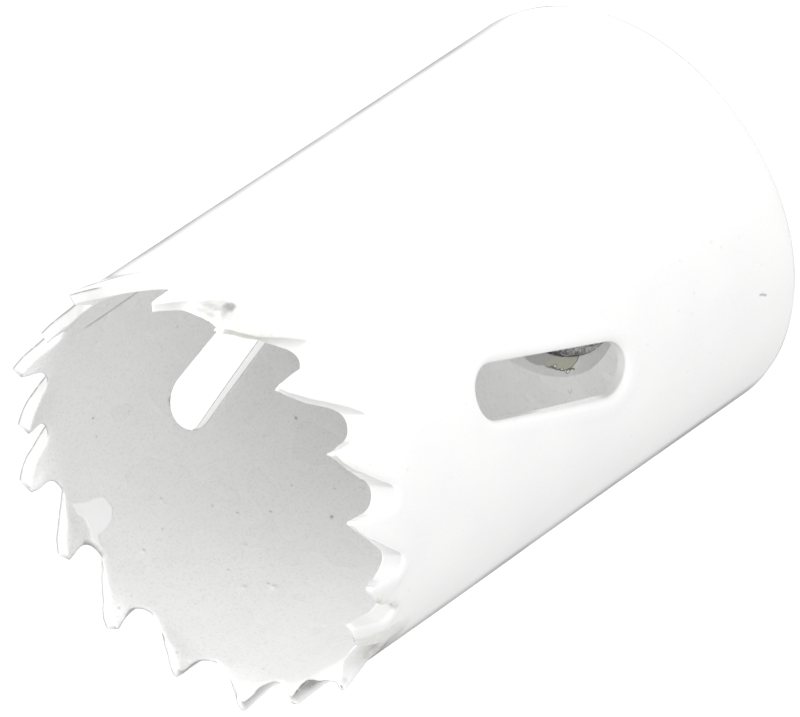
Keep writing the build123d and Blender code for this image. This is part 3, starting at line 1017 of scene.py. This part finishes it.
# bubbles in the pool, drawn as a dark rim, painted shade, round a light middle, a painted highlight
for baz, br, bz, size in ((-93.0, 7.63, 10.36, 0.13), (-87.3, 7.76, 10.53, 0.10), (-82.4, 7.86, 10.68, 0.15), (-84.4, 7.84, 10.64, 0.08)):
    away = add(nt, "ShaderNodeVectorMath", {"operation": "DISTANCE"})
    nt.links.new(co, away.inputs[0])
    away.inputs[1].default_value = (br * MM * math.cos(math.radians(baz)), br * MM * math.sin(math.radians(baz)), bz * MM)
    away = away.outputs["Value"]
    bubble_rim_shade = math_node(nt, "MULTIPLY", ramp(nt, away, size * 0.7 * MM, size * MM, 0, 0.7), ramp(nt, away, size * 1.1 * MM, size * 1.6 * MM, 1, 0))
    col = blend(nt, bubble_rim_shade, col, (0.20, 0.20, 0.16, 1))
    col = blend(nt, ramp(nt, away, size * 0.5 * MM, size * 0.9 * MM, 0.95, 0), col, (0.95, 0.95, 0.93, 1))
vee = None
for (vx, vy), (wx, wy) in (((0.906, -9.064), (0.998, -9.367)), ((0.998, -9.367), (1.30, -9.00))):
    # a small v scratched in the paint, as distance from two short lines
    ux, uy = wx - vx, wy - vy
    ln = math.hypot(ux, uy)
    ux, uy = ux / ln, uy / ln
    dx_, dy_ = math_node(nt, "SUBTRACT", cx_, vx * MM), math_node(nt, "SUBTRACT", cy_, vy * MM)
    run = math_node(nt, "ADD", math_node(nt, "MULTIPLY", dx_, ux), math_node(nt, "MULTIPLY", dy_, uy))
    off = math_node(nt, "ABSOLUTE", math_node(nt, "SUBTRACT", math_node(nt, "MULTIPLY", dx_, uy), math_node(nt, "MULTIPLY", dy_, ux)))
    mark = math_node(nt, "MULTIPLY", ramp(nt, off, 0.02 * MM, 0.06 * MM, 0.45, 0), math_node(nt, "MULTIPLY", ramp(nt, run, -0.04 * MM, 0.0, 0, 1), ramp(nt, run, ln * MM, (ln + 0.04) * MM, 1, 0)))
    vee = mark if vee is None else math_node(nt, "MAXIMUM", vee, mark)
col = blend(nt, vee, col, (0.35, 0.35, 0.35, 1))
nt.links.new(col, bsdf.inputs["Base Color"])
nt.links.new(ramp(nt, cloud, 0.3, 0.7, 0.22, 0.34), bsdf.inputs["Roughness"])
pim = add(nt, "ShaderNodeTexVoronoi", {"feature": "SMOOTH_F1"}, Vector=co, Scale=1500.0)
pim_h = math_node(nt, "MULTIPLY", ramp(nt, pim.outputs["Distance"], 0.05, 0.30, 1, 0), ramp(nt, noise(nt, co, 1100.0, 1.0), 0.52, 0.60, 0, 1))
cap_h = math_node(nt, "ADD", math_node(nt, "MULTIPLY", noise(nt, co, 2200.0, 3.0), 0.25), pim_h)
bump = add(nt, "ShaderNodeBump", None, Strength=1.0, Distance=0.000024, Height=cap_h)
nt.links.new(bump.outputs["Normal"], bsdf.inputs["Normal"])

thread_mat, nt, bsdf = material("thread_steel")
co = nt.nodes.new("ShaderNodeTexCoord").outputs["Object"]
sp1 = noise(nt, co, 3800.0, 3.0, 0.7)
sp2 = noise(nt, co, 1300.0, 3.0, 0.6)
col = blend(nt, ramp(nt, sp1, 0.40, 0.60, 0, 1), (0.30, 0.30, 0.296, 1), (0.76, 0.76, 0.75, 1))
col = blend(nt, ramp(nt, sp2, 0.54, 0.66, 0, 0.28), col, (0.035, 0.034, 0.032, 1))
sep = add(nt, "ShaderNodeSeparateXYZ", None, Vector=co)
zt = math_node(nt, "ADD", sep.outputs[2], math_node(nt, "MULTIPLY", math_node(nt, "SUBTRACT", sp2, 0.5), 0.00035))
zt = math_node(nt, "ADD", zt, ramp(nt, math_node(nt, "ARCTAN2", sep.outputs[1], sep.outputs[0]), math.radians(-108), math.radians(-90), 0.0006, 0.0))
edge_dark = math_node(nt, "MULTIPLY", ramp(nt, zt, 0.00938, 0.00952, 0.0, 0.96), ramp(nt, sp1, 0.42, 0.64, 1.0, 0.80))
col = blend(nt, edge_dark, col, (0.020, 0.020, 0.019, 1))
nt.links.new(col, bsdf.inputs["Base Color"])
nt.links.new(ramp(nt, sp1, 0.3, 0.7, 0.30, 0.60), bsdf.inputs["Roughness"])
bump = add(nt, "ShaderNodeBump", None, Strength=1.0, Distance=0.00003, Height=sp1)
nt.links.new(bump.outputs["Normal"], bsdf.inputs["Normal"])
cap_mesh.materials.append(cap_paint)
cap_mesh.materials.append(thread_mat)
idx = []
for p in cap_mesh.polygons:
    c = p.center
    idx.append(1 if c.z < (CAP_T - SINK_H - 0.03) * MM and c.z > 0.0009 and math.hypot(c.x, c.y) < 8.1 * MM else 0)
cap_mesh.polygons.foreach_set("material_index", idx)

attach(shell, "root")
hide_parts("saw_shell")
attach(cap, "root")
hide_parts("arbor_cap")

# ------------------------------------------------------------------- floor
me = bpy.data.meshes.new("floor")
S = 6.0
me.from_pydata([(-S, -S, 0), (S, -S, 0), (S, S, 0), (-S, S, 0)], [], [(0, 1, 2, 3)])
floor = bpy.data.objects.new("floor", me)
bpy.context.scene.collection.objects.link(floor)
floor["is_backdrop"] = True
fm, nt, bsdf = material("pale_floor")
bsdf.inputs["Base Color"].default_value = (0.16, 0.16, 0.16, 1)
bsdf.inputs["Roughness"].default_value = 0.9
bsdf.inputs["Specular IOR Level"].default_value = 0.0
bsdf.inputs["Emission Color"].default_value = (1, 1, 1, 1)
bsdf.inputs["Emission Strength"].default_value = 0.92
me.materials.append(fm)
floor.visible_glossy = False

# ------------------------------------------------------------------ camera
cam_data = bpy.data.cameras.new("camera")
cam_data.sensor_fit = "HORIZONTAL"
cam_data.sensor_width = 36.0
cam_data.lens = 577.27
cam_data.clip_start = 0.05
cam_data.clip_end = 10.0
cam = bpy.data.objects.new("camera", cam_data)
bpy.context.scene.collection.objects.link(cam)
right = Vector((0.7312081739, -0.2564025364, -0.6321331709))
up = Vector((-0.0564469540, 0.9007511708, -0.4306519125))
back = Vector((0.6798149364, 0.3505781905, 0.6441634765))
m = Matrix((right, up, back)).transposed().to_4x4()
m.translation = Vector((0.5991624594, 0.3088938434, 0.5925893992))
cam.matrix_world = m
bpy.context.scene.camera = cam

# ------------------------------------------------------------------ lights
WORLD_BASE, WORLD_TOP, WORLD_DIM = 0.98, 1.55, 0.50
world = bpy.data.worlds.new("studio")
bpy.context.scene.world = world
world.use_nodes = True
nt = world.node_tree
bg = nt.nodes["Background"]
ray = nt.nodes.new("ShaderNodeTexCoord").outputs["Generated"]


def towards(az, el):
    """How far a direction points to an azimuth and elevation, as a cosine."""
    c = math.cos(math.radians(el))
    n = add(nt, "ShaderNodeVectorMath", {"operation": "DOT_PRODUCT"})
    nt.links.new(ray, n.inputs[0])
    n.inputs[1].default_value = (c * math.cos(math.radians(az)), c * math.sin(math.radians(az)), math.sin(math.radians(el)))
    return n.outputs["Value"]


light = ramp(nt, towards(0, 90), 0.30, 0.85, WORLD_BASE, WORLD_TOP)
light = math_node(nt, "SUBTRACT", light, ramp(nt, towards(-86, 2), -0.02, 0.88, 0.0, WORLD_DIM))
light = math_node(nt, "MULTIPLY", light, ramp(nt, towards(207.3, -40), 0.945, 0.978, 1.0, 0.12))
nt.links.new(light, bg.inputs["Strength"])
bg.inputs["Color"].default_value = (1, 1, 1, 1)


def area(name, direction, dist, size, watts, target=(0, 0, 0.024)):
    ld = bpy.data.lights.new(name, "AREA")
    ld.shape = "RECTANGLE"
    ld.size, ld.size_y = size
    ld.energy = watts
    o = bpy.data.objects.new(name, ld)
    bpy.context.scene.collection.objects.link(o)
    d = Vector(direction).normalized()
    o.location = Vector(target) + d * dist
    o.rotation_mode = "QUATERNION"
    o.rotation_quaternion = (-d).to_track_quat("-Z", "Y")
    o.visible_camera = False
    return o


el = math.radians(43)
area("key", (math.cos(el) * math.cos(math.radians(103)), math.cos(el) * math.sin(math.radians(103)), math.sin(el)),
     0.5, (0.32, 0.32), 0.72)

bpy.context.scene.view_settings.view_transform = "Standard"
bpy.context.scene.view_settings.look = "None"

lo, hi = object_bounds()
print("visual ", [round(v * 1000, 3) for v in list(lo) + list(hi)])
